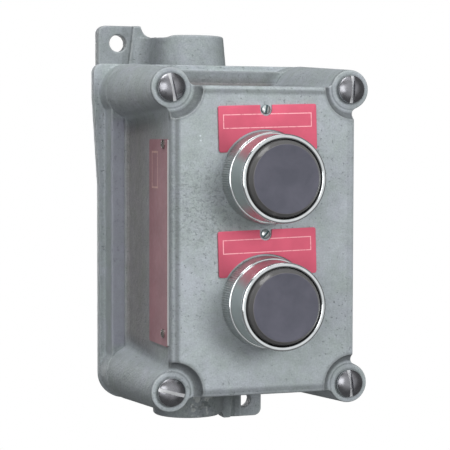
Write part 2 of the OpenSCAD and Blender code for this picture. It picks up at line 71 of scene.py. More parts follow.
# Operators: height of each on the panel, and its rings, cap and travel
BUTTONS = {"upper": 31.5, "lower": -32.0}
RING_TOP = 163.2
LIP_Z = 181.0
KNURL_STEPS = 480
KNURL_DEPTH = 0.55
COIL_PARTS = 28

# Screw heads, and the heights of a legend plate's screw and field over its button
LARGE_HEAD = {"radius": 7.1, "height": 4.4, "crown": 2.42, "slot": 1.9, "depth": 3.0}
SMALL_HEAD = {"radius": 2.35, "height": 1.5, "crown": 0.8, "slot": 1.05, "depth": 1.0}
LARGE_SLOT_FLOOR = SEAT_Z + LARGE_HEAD["height"] - LARGE_HEAD["depth"]
SMALL_SLOT_FLOOR = PANEL_Z + SMALL_HEAD["height"] - SMALL_HEAD["depth"]
COVER_SCREW_TURNS = {(-1, 1): 102.5, (1, 1): 88, (-1, -1): -15.6, (1, -1): 97}
LEGEND_SCREW_TURNS = {"upper": 80, "lower": 50}
LEGEND_SCREW_RISE = 34.7
LEGEND_FIELD_RISE = 29.0

# Places where the enamel of the castings is lumpy, nicked or chipped, in world axes
LUMPY = (-30.0, -153.0, 18.0)
NICKS = ((-34.8, -153.0, 52.7), (-34.6, -153.0, 50.3))
CHIPPED = (1.4, -40.0, -102.4)


# Camera

def place_camera():
    """The camera that took the photograph, solved from the screws, rings, lug holes and hubs."""
    data = bpy.data.cameras.new("Camera")
    data.sensor_width = 36
    data.lens = 125.41
    data.clip_start = 0.05
    data.clip_end = 20
    camera = bpy.data.objects.new("Camera", data)
    eye = Vector((-0.27588, -0.90356, 0.04992))
    forward = Vector((0.32029, 0.94582, -0.05327)).normalized()
    up = Vector((0.01527, 0.05107, 0.99858))
    right = forward.cross(up).normalized()
    up = right.cross(forward)
    camera.matrix_world = Matrix((
        (right.x, up.x, -forward.x, eye.x),
        (right.y, up.y, -forward.y, eye.y),
        (right.z, up.z, -forward.z, eye.z),
        (0, 0, 0, 1),
    ))
    bpy.context.scene.collection.objects.link(camera)
    bpy.context.scene.camera = camera


# Shader helpers

def shader(name):
    material = bpy.data.materials.new(name)
    material.use_nodes = True
    material.node_tree.nodes.clear()
    return material


def add(material, kind, inputs=None, **settings):
    node = material.node_tree.nodes.new(kind)
    for key, value in settings.items():
        setattr(node, key, value)
    for key, value in (inputs or {}).items():
        if isinstance(value, bpy.types.NodeSocket):
            material.node_tree.links.new(value, node.inputs[key])
        else:
            node.inputs[key].default_value = value
    return node


def place(material, offset=(0, 0, 0), turn=(0, 0, 0)):
    """Object coordinates in metres, moved and turned where that is asked."""
    coordinates = add(material, "ShaderNodeTexCoord").outputs["Object"]
    if offset == (0, 0, 0) and turn == (0, 0, 0):
        return coordinates
    moved = add(material, "ShaderNodeVectorMath", {0: coordinates, 1: offset}, operation="SUBTRACT")
    return add(material, "ShaderNodeMapping", {0: moved.outputs[0], "Rotation": turn}).outputs[0]


def in_millimetres(material, where):
    inputs = {0: where, "Scale": 1000.0}
    return add(material, "ShaderNodeVectorMath", inputs, operation="SCALE").outputs[0]


def split(material, vector):
    return add(material, "ShaderNodeSeparateXYZ", {0: vector}).outputs


def distance_to(material, point, centre):
    inputs = {0: point, 1: centre}
    return add(material, "ShaderNodeVectorMath", inputs, operation="DISTANCE").outputs["Value"]


def facing_front(material):
    """The y part of the surface normal, -1 where it faces the user."""
    return split(material, add(material, "ShaderNodeTexCoord").outputs["Normal"])[1]


def noise(material, where, scale, detail=3.0, roughness=0.55, distortion=0.0):
    return add(material, "ShaderNodeTexNoise", {
        "Vector": where, "Scale": scale, "Detail": detail,
        "Roughness": roughness, "Distortion": distortion,
    }).outputs["Fac"]


def math_node(material, operation, *values, clamp=False):
    node = add(material, "ShaderNodeMath", dict(enumerate(values)), operation=operation, use_clamp=clamp)
    return node.outputs[0]


def product(material, first, *others):
    for other in others:
        first = math_node(material, "MULTIPLY", first, other)
    return first


def remap(material, value, low, high, to_low=0.0, to_high=1.0):
    return add(material, "ShaderNodeMapRange", {
        "Value": value, "From Min": low, "From Max": high, "To Min": to_low, "To Max": to_high,
    }).outputs["Result"]


def fade(material, value, full, gone):
    """One up to the first value, falling to zero at the second."""
    return remap(material, value, full, gone, 1.0, 0.0)


def band(material, value, start, full, end, gone):
    """One between full and end, falling to zero at start and gone."""
    return product(material, remap(material, value, start, full), fade(material, value, end, gone))


def spot(material, point, centre, full, gone):
    """One within the full distance of a centre, falling to zero."""
    return fade(material, distance_to(material, point, centre), full, gone)


def blend(material, amount, first, second, mode="MIX"):
    node = add(material, "ShaderNodeMix", data_type="RGBA", blend_type=mode)
    links = material.node_tree.links
    for index, value in ((0, amount), (6, first), (7, second)):
        if isinstance(value, bpy.types.NodeSocket):
            links.new(value, node.inputs[index])
        else:
            node.inputs[index].default_value = value
    return node.outputs[2]


def coat(material, color, mask, share, paint):
    """Coats the color with a share of the paint where the mask is one."""
    return blend(material, product(material, mask, share), color, paint)


def scaled(color, share, extra=0.0):
    return tuple(min(1.0, c * share + extra) for c in color[:3]) + (1,)


def grey(material, level):
    return add(material, "ShaderNodeCombineColor", {0: level, 1: level, 2: level}).outputs[0]


def bump(material, height, strength, distance, onto=None):
    inputs = {"Height": height, "Strength": strength, "Distance": distance}
    if onto is not None:
        inputs["Normal"] = onto
    return add(material, "ShaderNodeBump", inputs).outputs[0]


def surface(material, color, roughness, normal, metallic=0.0, specular=0.5):
    body = add(material, "ShaderNodeBsdfPrincipled", {
        "Base Color": color, "Roughness": roughness, "Normal": normal,
        "Metallic": metallic, "Specular IOR Level": specular,
    })
    add(material, "ShaderNodeOutputMaterial", {"Surface": body.outputs[0]})
    return material


# Finishes

def painted_shade_and_dirt(m, point):
    """Painted shade, with a little dirt: the paint's tone made darker in hollow corners, under the columns,
    round the screw heads, on the coves, on walls, ledge and slopes that face away from the light, near the
    wall and along the panel's border; and a mask of the cover's walls.
    """
    x, y, z = split(m, point)
    across = math_node(m, "ABSOLUTE", x)
    upward = math_node(m, "ABSOLUTE", z)
    depth = math_node(m, "MULTIPLY", y, -1.0)

    # Round the columns and their seats: painted shade under the columns, on the coves and at the seat's
    # outline, a painted shadow ring round each screw head, and the seats a little darker
    corner = add(m, "ShaderNodeCombineXYZ", {0: across, 2: upward}).outputs[0]
    away = distance_to(m, corner, (SCREW_X, 0, SCREW_Y))
    column = remap(m, depth, JOINT_Z, SEAT_Z, COLUMN_TOP + COLUMN_GROWTH, COLUMN_TOP)
    beside = math_node(m, "SUBTRACT", away, column)
    behind = band(m, depth, 74.0, 78.0, 146.2, 147.4)
    ahead = remap(m, depth, 147.0, 148.0)
    webs = product(m, band(m, beside, 0.2, 1.8, 5.0, 10.0), behind, fade(m, depth, 112.0, 136.0))
    seat = product(m, fade(m, away, 10.3, 10.8), ahead)
    cove = product(m, band(m, away, 11.0, 12.6, 15.0, 17.4), ahead)
    rim = product(m, band(m, away, 6.8, 7.2, 7.8, 8.5), ahead)
    outline = product(m, band(m, away, 9.8, 10.1, 10.7, 11.1), remap(m, depth, 145.5, 146.8))

    # On the cover's walls: painted shade on the walls, on the top ledge beside the cover and on the lower
    # left column
    within = product(m, fade(m, across, 52.5, 55.0), fade(m, upward, 83.0, 86.0))
    deep = remap(m, depth, 100.0, 140.0, 1.0, 0.2)
    walls = product(m, remap(m, beside, 2.0, 8.0), behind, deep, within)
    ledge = product(
        m, remap(m, z, 77.5, 80.0), band(m, depth, 70.0, 74.0, 78.0, 82.0), remap(m, away, 15.1, 20.0),
    )
    lower_left = product(m, remap(m, x, -40.0, -48.0), remap(m, z, -68.0, -76.0), behind)

    # Along the raised panel: a darker band just inside its edge, and painted shade on its left roundover
    high = math_node(m, "ABSOLUTE", math_node(m, "ADD", z, PANEL_DROP))
    past_side = math_node(m, "SUBTRACT", across, PANEL_HALF_X)
    past_end = math_node(m, "SUBTRACT", high, PANEL_HALF_Y)
    past_edge = math_node(m, "MAXIMUM", past_side, past_end)
    weaker_right = remap(m, x, 44.0, 46.5, 1.0, 0.2)
    border = product(
        m, band(m, past_edge, -5.0, -3.4, -2.2, -1.2), remap(m, depth, 150.5, 152.0), weaker_right,
    )
    left_edge = product(m, band(m, x, -52.0, -50.5, -47.0, -45.5), remap(m, depth, 147.5, 149.0))

    # Between the lugs and the hubs: painted shade on the slope and in the valley; the paint is also darker
    # near the wall
    skew = math_node(m, "MULTIPLY", x, math_node(m, "SIGN", z))
    outer = product(m, remap(m, upward, 88.0, 92.0), remap(m, depth, 1.0, 3.0))
    slope = product(m, band(m, skew, -37.2, -36.0, -31.5, -30.0), outer)
    valley = product(m, band(m, skew, -28.5, -24.0, -20.0, -16.5), outer)
    at_wall = fade(m, depth, 30.0, 56.0)

    tone = 1.0
    for mask, share in (
        (webs, 0.32), (left_edge, 0.14), (slope, 0.20), (valley, 0.10), (seat, 0.09), (walls, 0.29),
        (cove, 0.60), (outline, 0.30), (border, 0.40), (ledge, 0.40), (at_wall, 0.27), (rim, 0.35),
        (lower_left, 0.12),
    ):
        tone = math_node(m, "MULTIPLY", tone, remap(m, mask, 0.0, 1.0, 1.0, 1.0 - share))
    return tone, walls


def ledge_strip(m, point):
    """The flat of the joint flange beside the cover's long walls, which gets a bluer grey."""
    x, y, z = split(m, point)
    across = remap(m, math_node(m, "ABSOLUTE", x), 53.0, 54.0)
    upward = fade(m, math_node(m, "ABSOLUTE", z), 60.0, 63.0)
    depth = band(m, math_node(m, "MULTIPLY", y, -1.0), 74.0, 75.2, 76.8, 77.5)
    return product(m, across, upward, depth)


def cast_enamel():
    m = shader("cast enamel")
    where = place(m)
    point = in_millimetres(m, where)

    # Patches, clouds and grain, then the painted shade with a little dirt, and a warm painted shade on the
    # walls
    patch = remap(m, noise(m, where, 75, 4.0, 0.7, 0.3), 0.36, 0.64)
    color = blend(m, patch, (0.345, 0.390, 0.392, 1), (0.380, 0.412, 0.446, 1))
    cloud = remap(m, noise(m, where, 130, 4.0, 0.7), 0.32, 0.72, 0.90, 1.08)
    grain = remap(m, noise(m, where, 1150, 2.0, 0.7), 0.30, 0.70, 0.88, 1.10)
    shade_and_dirt_tone, walls = painted_shade_and_dirt(m, point)
    color = blend(m, 1.0, color, grey(m, product(m, cloud, grain, shade_and_dirt_tone)), "MULTIPLY")
    # A warmer, darker tint painted on the shaded walls: painted shade
    color = blend(m, walls, color, (1.0, 0.90, 0.87, 1), "MULTIPLY")

    # Marks: pits, creases whose folds get painted shade, a chipped patch, a nick and the flange's strip
    pitted = remap(m, noise(m, where, 22, 2.0), 0.42, 0.58, 0.15, 1.0)
    pits = product(m, remap(m, noise(m, where, 640, 1.0, 0.5), 0.655, 0.710), pitted)
    color = coat(m, color, pits, 0.55, (0.14, 0.16, 0.16, 1))
    ripple = noise(m, where, 620, 3.0, 0.55, 0.8)
    lumps = spot(m, point, LUMPY, 12.0, 34.0)
    # Painted shade in the folds of the creases, over their real bump
    creases = product(m, remap(m, ripple, 0.47, 0.38), lumps)
    color = coat(m, color, creases, 0.60, (0.20, 0.225, 0.225, 1))
    chips = product(
        m, spot(m, point, CHIPPED, 6.0, 13.0), remap(m, noise(m, where, 300, 3.0, 0.6), 0.54, 0.60),
    )
    color = coat(m, color, chips, 0.7, (0.60, 0.63, 0.62, 1))
    soot = product(
        m, spot(m, point, CHIPPED, 6.0, 14.0), remap(m, noise(m, where, 260, 3.0, 0.6), 0.46, 0.40),
    )
    color = coat(m, color, soot, 0.6, (0.14, 0.16, 0.16, 1))
    nicks = math_node(m, "ADD", *(spot(m, point, centre, 0.2, 0.6) for centre in NICKS), clamp=True)
    color = coat(m, color, nicks, 0.7, (0.70, 0.75, 0.80, 1))
    color = coat(m, color, ledge_strip(m, point), 0.55, (0.33, 0.33, 0.41, 1))

    # Paint worn thin on the edges, and a painted highlight along them: the rounded edges are painted lighter
    edges = remap(m, add(m, "ShaderNodeNewGeometry").outputs["Pointiness"], 0.512, 0.560)
    edges = product(m, edges, remap(m, noise(m, where, 160, 3.0), 0.35, 0.6, 0.25, 0.55))
    color = blend(m, edges, color, (0.52, 0.55, 0.56, 1))

    peel = bump(m, noise(m, where, 420, 3.0, 0.6), 0.50, 0.00080)
    peel = bump(m, noise(m, where, 1500, 2.0, 0.5), 0.25, 0.00016, peel)
    lumpy = product(m, math_node(m, "SUBTRACT", ripple, 0.5), lumps)
    peel = bump(m, lumpy, 1.0, 0.0011, peel)
    peel = bump(m, math_node(m, "SUBTRACT", 1.0, pits), 0.7, 0.0003, peel)
    rough = remap(m, noise(m, where, 240, 3.0), 0.3, 0.7, 0.46, 0.60)
    return surface(m, color, rough, peel, specular=0.22)


def bare_metal(name, color, low, high, scale=300, scratch=0.0, stain=None, stained=0.0, slot=None):
    """Metal with a roughness from low to high. A slot is its floor's distance from the wall and the tone
    painted on that floor as its light or shade.
    """
    m = shader(name)
    where = place(m)
    cloud = remap(m, noise(m, where, scale, 3.0, 0.6), 0.35, 0.65)
    tone = blend(m, cloud, color, scaled(color, 0.80))
    if stain:
        mask = remap(m, noise(m, where, scale * 0.55, 4.0, 0.7), 0.50, 0.68, 0.0, stained)
        tone = blend(m, mask, tone, stain)
    rough = remap(m, noise(m, where, scale * 1.7, 3.0), 0.3, 0.7, low, high)
    if slot:
        floor_z, painted_floor_tone = slot
        depth = math_node(m, "MULTIPLY", split(m, in_millimetres(m, where))[1], -1.0)
        floor = band(m, depth, floor_z - 0.4, floor_z - 0.2, floor_z + 0.2, floor_z + 0.6)
        # The given tone is painted on the slot floor: a painted highlight on the large screws, painted shade
        # on the small ones
        tone = blend(m, floor, tone, painted_floor_tone)
        rough = math_node(m, "ADD", rough, remap(m, floor, 0.0, 1.0, 0.0, 0.22))
    normal = bump(m, noise(m, where, scale * 3.0, 2.0), 0.10 + scratch, 0.00008)
    return surface(m, tone, rough, normal, 1.0)


def chrome():
    """Polished at the lip and the base flange, satin on the sleeve between them."""
    m = shader("guard chrome")
    where = place(m)
    depth = math_node(m, "MULTIPLY", split(m, in_millimetres(m, where))[1], -1.0)
    sleeve = band(m, depth, 164.2, 164.6, 177.6, 178.4)
    cloud = remap(m, noise(m, where, 220, 3.0, 0.6), 0.35, 0.65)
    bright = blend(m, cloud, (0.80, 0.835, 0.85, 1), (0.69, 0.725, 0.74, 1))
    tone = blend(m, sleeve, bright, (0.58, 0.62, 0.61, 1))
    rough = remap(m, noise(m, where, 380, 3.0), 0.3, 0.7, 0.08, 0.14)
    rough = math_node(m, "ADD", rough, remap(m, sleeve, 0.0, 1.0, 0.0, 0.24))
    normal = bump(m, noise(m, where, 660, 2.0), 0.10, 0.00008)
    return surface(m, tone, rough, normal, 1.0)


def moulding(name, color, low, high, grain=900, relief=0.15):
    m = shader(name)
    where = place(m)
    cloud = remap(m, noise(m, where, 90, 4.0, 0.6), 0.35, 0.65)
    tone = blend(m, cloud, color, scaled(color, 1.22, 0.004))
    rough = remap(m, noise(m, where, 260, 3.0), 0.3, 0.7, low, high)
    normal = bump(m, noise(m, where, grain, 2.0), relief, 0.0001)
    return surface(m, tone, rough, normal)


def box_line(m, parts, axes, half_width, half_height, line):
    """A thin rectangle drawn on two of the axes."""
    u = math_node(m, "SUBTRACT", math_node(m, "ABSOLUTE", parts[axes[0]]), half_width)
    v = math_node(m, "SUBTRACT", math_node(m, "ABSOLUTE", parts[axes[1]]), half_height)
    reach = math_node(m, "ABSOLUTE", math_node(m, "MAXIMUM", u, v))
    return fade(m, reach, line * 0.35, line * 0.65)


def plate_enamel(name, centre, tilt, field, red, pale, bare_edge=False):
    """Enamel with one outlined field round the centre: its axes, half width, half height and line."""
    m = shader(name)
    where = place(m)
    tone = blend(m, remap(m, noise(m, where, 60, 3.0), 0.35, 0.65), red, scaled(red, 0.86))
    local = place(m, tuple(c / 1000 for c in centre), (0, math.radians(tilt), 0))
    parts = split(m, in_millimetres(m, local))
    if not bare_edge:
        # A painted shadow of the guard ring on the plate's lower left corner
        ring_shadow = product(m, remap(m, parts[0], -4.0, -24.0), remap(m, parts[2], 4.0, -12.0))
        tone = coat(m, tone, ring_shadow, 0.74, scaled(red, 0.45))
    worn = remap(m, noise(m, where, 700, 3.0), 0.30, 0.48, 0.25, 0.85)
    tone = coat(m, tone, box_line(m, parts, *field), worn, pale)
    rough = remap(m, noise(m, where, 400, 3.0), 0.3, 0.7, 0.36, 0.50)
    normal = bump(m, noise(m, where, 800, 2.0), 0.12, 0.00008)
    edge = 0.0
    if bare_edge:
        edge = remap(m, facing_front(m), -0.60, -0.80)
        tone = blend(m, edge, tone, (0.80, 0.79, 0.79, 1))
    return surface(m, tone, rough, normal, edge, specular=0.25)


def cap_plastic():
    """A clouded face, a plainer bevel and a thin pale ring between them, which is a painted highlight."""
    m = shader("satin black plastic")
    where = place(m)
    cloud = remap(m, noise(m, where, 70, 4.0, 0.6, 0.4), 0.35, 0.65)
    tone = blend(m, cloud, (0.080, 0.082, 0.104, 1), (0.104, 0.104, 0.131, 1))
    facing = facing_front(m)
    face = remap(m, facing, -0.90, -0.97)
    tone = blend(m, face, (0.105, 0.104, 0.105, 1), tone)
    # A painted highlight on the rounded edge round the face
    tone = coat(m, tone, band(m, facing, -0.990, -0.965, -0.930, -0.880), 0.5, (0.20, 0.19, 0.20, 1))
    smear = remap(m, noise(m, where, 42, 3.0, 0.6, 1.0), 0.35, 0.70, 0.34, 0.48)
    smear = product(m, smear, remap(m, face, 0.0, 1.0, 0.45, 1.0))
    normal = bump(m, noise(m, where, 1300, 2.0), 0.10, 0.00006)
    return surface(m, tone, smear, normal, specular=0.32)


BRIGHT_ZINC = {
    "color": (0.84, 0.89, 0.89, 1), "low": 0.26, "high": 0.38, "scale": 500, "scratch": 0.05,
    "stain": (0.30, 0.34, 0.34, 1), "stained": 0.4,
}
ENAMEL = cast_enamel()
# Its slot floor is painted bright: a painted highlight
STEEL = bare_metal(
    "screw steel", (0.305, 0.308, 0.332, 1), 0.24, 0.34, stain=(0.12, 0.10, 0.105, 1), stained=0.35,
    slot=(LARGE_SLOT_FLOOR, (0.82, 0.83, 0.85, 1)),
)
PLATE_STEEL = bare_metal(
    "plate screw steel", (0.64, 0.60, 0.58, 1), 0.20, 0.30, 500, 0.05,
    stain=(0.14, 0.11, 0.10, 1), stained=0.6,
)
CHROME = chrome()
KNURL = bare_metal("plated knurling", (0.56, 0.59, 0.59, 1), 0.46, 0.58, 300, 0.1)
ZINC = bare_metal("bright zinc", **BRIGHT_ZINC)
# Its slot floor is painted dark: painted shade
SLOTTED_ZINC = bare_metal("slotted zinc", slot=(SMALL_SLOT_FLOOR, (0.13, 0.19, 0.20, 1)), **BRIGHT_ZINC)
BRASS = bare_metal("turned brass", (0.70, 0.52, 0.24, 1), 0.22, 0.36, 350)
SILVER = bare_metal("contact silver", (0.82, 0.81, 0.78, 1), 0.20, 0.34, 450)
SPRING = bare_metal("spring steel", (0.50, 0.50, 0.51, 1), 0.20, 0.32, 600)
GREEN = moulding("green plating", (0.045, 0.20, 0.075, 1), 0.30, 0.42)
RUBBER = moulding("black rubber", (0.022, 0.022, 0.023, 1), 0.62, 0.78, 1100, 0.3)
PHENOLIC = moulding("brown phenolic", (0.050, 0.038, 0.032, 1), 0.34, 0.50)
CARRIER = moulding("red moulding", (0.42, 0.045, 0.05, 1), 0.36, 0.50)
CAP = cap_plastic()
LEGEND = {
    side: plate_enamel(
        side + " legend enamel", (0.85, 0, height + LEGEND_FIELD_RISE), 1.7, ("XZ", 23.75, 3.4, 0.45),
        (0.685, 0.126, 0.196, 1), (0.93, 0.50, 0.54, 1),
    )
    for side, height in BUTTONS.items()
}
# The nameplate's red is painted darker and greyer: painted shade and a painted sheen
NAMEPLATE = plate_enamel(
    "nameplate enamel", (-50.3, -127.7, 35.4), 0, ("YZ", 4.5, 9.1, 0.9),
    (0.385, 0.203, 0.230, 1), (0.62, 0.42, 0.36, 1), bare_edge=True,
)


# Mesh helpers

def lathe(profile, steps, closed=False):
    """A turned form round the z axis, from radius and height pairs."""
    bm = bmesh.new()
    points = [bm.verts.new((r, 0, z)) for r, z in profile]
    pairs = list(zip(points, points[1:])) + ([(points[-1], points[0])] if closed else [])
    edges = [bm.edges.new(pair) for pair in pairs]
    bmesh.ops.spin(bm, geom=points + edges, axis=(0, 0, 1), angle=TURN, steps=steps, use_merge=True)
    bmesh.ops.remove_doubles(bm, verts=bm.verts, dist=1e-4)
    bmesh.ops.recalc_face_normals(bm, faces=bm.faces)
    return bm


def ease(bm, width, where=None, sharp=30):
    """Rounds the sharp edges that pass the test."""
    chosen = [
        e for e in bm.edges
        if len(e.link_faces) == 2 and e.calc_face_angle(0.0) > math.radians(sharp)
        and (where is None or where((e.verts[0].co + e.verts[1].co) / 2))
    ]
    bmesh.ops.bevel(
        bm, geom=chosen, offset=width, offset_type="OFFSET", segments=2,
        profile=0.5, affect="EDGES", clamp_overlap=True, material=-1,
    )


def helix(bm, outline, rise, steps, turns):
    """Carries a closed outline up round the z axis, by the rise at each step, and closes its far end."""
    made = bmesh.ops.spin(
        bm, geom=outline, axis=(0, 0, 1), dvec=(0, 0, rise),
        angle=TURN * turns, steps=steps, use_merge=False,
    )
    last = [g for g in made["geom_last"] if isinstance(g, bmesh.types.BMEdge)]
    bmesh.ops.contextual_create(bm, geom=last)
    bmesh.ops.recalc_face_normals(bm, faces=bm.faces)
    return bm


def join(bm, other, matrix=None):
    """Adds another mesh to this one and frees it."""
    if matrix is not None:
        other.transform(matrix)
    held = bpy.data.meshes.new("held")
    other.to_mesh(held)
    other.free()
    bm.from_mesh(held)
    bpy.data.meshes.remove(held)


def lift(bm, side):
    """Moves a mesh from the origin up to its button's axis."""
    bm.transform(Matrix.Translation((0, BUTTONS[side], 0)))


def through_modifiers(bm, *steps):
    """The mesh after a list of modifiers, each a type and its settings."""
    mesh = bpy.data.meshes.new("working")
    bm.to_mesh(mesh)
    bm.free()
    obj = bpy.data.objects.new("working", mesh)
    bpy.context.scene.collection.objects.link(obj)
    for kind, settings in steps:
        modifier = obj.modifiers.new(kind, kind)
        for key, value in settings.items():
            setattr(modifier, key, value)
    evaluated = obj.evaluated_get(bpy.context.evaluated_depsgraph_get())
    out = bmesh.new()
    out.from_mesh(bpy.data.meshes.new_from_object(evaluated))
    bpy.data.objects.remove(obj)
    return out


def cut(bm, cutter):
    """Takes the cutter out of the mesh."""
    mesh = bpy.data.meshes.new("cutter")
    cutter.to_mesh(mesh)
    cutter.free()
    tool = bpy.data.objects.new("cutter", mesh)
    bpy.context.scene.collection.objects.link(tool)
    out = through_modifiers(bm, ("BOOLEAN", {"operation": "DIFFERENCE", "solver": "EXACT", "object": tool}))
    bpy.data.objects.remove(tool)
    return out


def cad_copy(node):
    """A copy of a CAD node in millimetres, lying down, with its seams closed."""
    bm = bmesh.new()
    bm.from_mesh(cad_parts[node].data)
    bmesh.ops.remove_doubles(bm, verts=bm.verts, dist=1e-6)
    bm.transform(STAND.inverted())
    return bm


def piece(name, bm, body, slot, material, *stands_for, sharp=32):
    bm.transform(STAND)
    for edge in bm.edges:
        edge.smooth = len(edge.link_faces) == 2 and edge.calc_face_angle(0.0) < math.radians(sharp)
    for face in bm.faces:
        face.smooth = True
        face.material_index = 0
    mesh = bpy.data.meshes.new(name)
    bm.to_mesh(mesh)
    bm.free()
    mesh.materials.clear()
    mesh.materials.append(material)
    obj = bpy.data.objects.new(name, mesh)
    bpy.context.scene.collection.objects.link(obj)
    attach(obj, body)
    if stands_for:
        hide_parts(*stands_for)
    return obj


def prism(bm, lower, upper):
    """A closed block between two outlines with the same number of corners."""
    edges = []
    for outline in (lower, upper):
        ring = [bm.verts.new(point) for point in outline]
        loop = [bm.edges.new(pair) for pair in zip(ring, ring[1:] + ring[:1])]
        bmesh.ops.contextual_create(bm, geom=loop)
        edges += loop
    bmesh.ops.bridge_loops(bm, edges=edges)


def cast(bm, grain, keep):
    """Melts closed shapes into one casting with soft corners, inside and out."""
    bm.transform(STAND)
    out = through_modifiers(
        bm,
        ("REMESH", {"mode": "VOXEL", "voxel_size": grain / 1000, "adaptivity": 0.0}),
        ("SMOOTH", {"factor": 0.5, "iterations": 3}),
        ("DECIMATE", {"decimate_type": "COLLAPSE", "ratio": keep}),
    )
    out.transform(STAND.inverted())
    return out


# Castings

def draft_at(z):
    return DRAFT * (PANEL_Z - z) / (PANEL_Z - JOINT_Z)


def side_at(z):
    return PANEL_HALF_X + draft_at(z)


def end_at(z, sign):
    return PANEL_HALF_Y + draft_at(z) - sign * PANEL_DROP


def column_at(z):
    return COLUMN_TOP + COLUMN_GROWTH * (SEAT_Z - z) / (SEAT_Z - JOINT_Z)


def web_outline(corner, out, along, depth, fillet, z):
    """The hollow corner between a column and a wall that lies the given depth out from its axis."""
    radius = column_at(z)
    high = depth + fillet
    far = math.sqrt((radius + fillet) ** 2 - high ** 2)
    start = 1.5 * math.pi
    end = math.pi + math.atan2(high, far)
    flat = [(far + fillet * math.cos(a), high + fillet * math.sin(a))
            for a in (start + (end - start) * i / 8 for i in range(9))]
    flat += [(radius * 0.3, 0.0), (far, depth - 3)]
    return [
        (corner[0] + along[0] * t + out[0] * n, corner[1] + along[1] * t + out[1] * n, z)
        for t, n in flat
    ]


def cover_casting():
    bm = cad_copy("cover")
    low, high = JOINT_Z + 0.5, SEAT_Z - 0.05
    low_fillet, high_fillet = 7.0, 3.0
    for sx in (-1, 1):
        for sy in (-1, 1):
            corner = (sx * SCREW_X, sy * SCREW_Y)
            sides = (
                ((sx, 0), (0, -sy), lambda z: side_at(z) - SCREW_X),
                ((0, sy), (-sx, 0), lambda z, sy=sy: end_at(z, sy) - SCREW_Y),
            )
            for out, along, depth in sides:
                prism(
                    bm,
                    web_outline(corner, out, along, depth(low), low_fillet, low),
                    web_outline(corner, out, along, depth(high), high_fillet, high),
                )
    bm = cast(bm, grain=0.52, keep=0.20)
    piece("cover_casting", bm, "enclosure", "cast_enamel", ENAMEL, "cover", sharp=70)


def valley_outline(radius, y, fillet=9.0, rise=10.5):
    """The hollow that carries a lug's rib round into the side of its hub."""
    lean = HUB_AXIS_Z - rise - fillet
    reach = math.sqrt((radius + fillet) ** 2 - lean ** 2)
    start = 1.5 * math.pi
    end = TURN - math.atan2(-lean, reach)
    arc = [(-reach + fillet * math.cos(a), rise + fillet + fillet * math.sin(a))
           for a in (start + (end - start) * i / 10 for i in range(11))]
    return [(x, y, z) for x, z in arc + [(-12.0, 12.0), (-12.0, 3.0), (-reach, 3.0)]]


def box_casting():
    bm = cad_copy("back_box")
    for turn in (0, math.pi):
        web = bmesh.new()
        prism(web, valley_outline(23.4, 80.0), valley_outline(20.8, 110.5))
        bmesh.ops.recalc_face_normals(web, faces=web.faces)
        saddle = bmesh.new()
        bmesh.ops.create_cone(
            saddle, cap_ends=True, segments=64, radius1=8.3, radius2=8.3, depth=60,
            matrix=Matrix.Translation((-17.5, 118.2, 20)),
        )
        join(bm, cut(web, saddle), Matrix.Rotation(turn, 4, "Z"))
    # A low strip beside the lower lug's hole
    strip = bmesh.new()
    bmesh.ops.create_cube(strip, size=1, matrix=(
        Matrix.Translation((35.6, -110.0, 7.5)) @ Matrix.Diagonal((4.4, 13.6, 3.0, 1))
    ))
    join(bm, strip)
    bm = cast(bm, grain=0.62, keep=0.24)
    piece("box_casting", bm, "enclosure", "cast_enamel", ENAMEL, "back_box", sharp=70)


# Screws

def slotted_head(radius, height, crown, slot, depth, turn):
    """A domed head with a screwdriver slot, standing on z 0."""
    dome = (radius * radius + crown * crown) / (2 * crown)
    rim = height - crown
    arc = math.asin(radius / dome)
    profile = [(0, 0), (radius - 0.15 * crown, 0), (radius, 0.18 * rim)]
    profile += [
        (dome * math.sin(arc * i / 10), height - dome + dome * math.cos(arc * i / 10))
        for i in range(10, -1, -1)
    ]
    bm = lathe(profile, 64)
    cutter = bmesh.new()
    bmesh.ops.create_cube(cutter, size=1, matrix=(
        Matrix.Rotation(math.radians(turn), 4, "Z")
        @ Matrix.Translation((0, 0, height))
        @ Matrix.Diagonal((4 * radius, slot, 2 * depth, 1))
    ))
    bm = cut(bm, cutter)
    ease(bm, 0.02 * radius + 0.03, lambda p: p.z > rim * 0.5)
    return bm


def thread(root, crest, pitch, length, parts=24):
    """A helical ridge of that length, from the root radius out or in to the crest."""
    bm = bmesh.new()
    ridge = [(root, -0.48 * pitch), (crest, -0.08 * pitch), (crest, 0.08 * pitch), (root, 0.48 * pitch)]
    points = [bm.verts.new((r, 0, z)) for r, z in ridge]
    edges = [bm.edges.new(pair) for pair in zip(points, points[1:] + points[:1])]
    bmesh.ops.contextual_create(bm, geom=edges)
    steps = round(parts * length / pitch)
    return helix(bm, edges + points, pitch / parts, steps, steps / parts)


def screw(head, shank_radius, length, pitch):
    """A headed screw with its seat at z 0 and its threaded end below."""
    core = shank_radius - 0.42 * pitch
    tip = -length + core * 0.4
    join(head, lathe([(0, 0.2), (core, 0.2), (core, tip), (core * 0.6, -length), (0, -length)], 32))
    threaded = min(length * 0.8, 34.0)
    ridge = thread(shank_radius - 0.45 * pitch, shank_radius, pitch, threaded - 1.2 * pitch)
    join(head, ridge, Matrix.Translation((0, 0, -length + 0.8 * pitch)))
    return head


def conduit_threads():
    """The thread inside each hub's mouth, in the casting's own metal."""
    for name, turn in (("top_hub_thread", 0), ("bottom_hub_thread", math.pi)):
        bm = thread(ENTRY_ROOT, ENTRY_CREST, ENTRY_PITCH, ENTRY_DEPTH - 5.0, 48)
        bm.transform(Matrix.Rotation(-math.pi / 2, 4, "X"))
        bm.transform(Matrix.Translation((0, HUB_END - ENTRY_DEPTH + 2.0, HUB_AXIS_Z)))
        bm.transform(Matrix.Rotation(turn, 4, "Z"))
        piece(name, bm, "enclosure", "cast_enamel", ENAMEL, sharp=25)


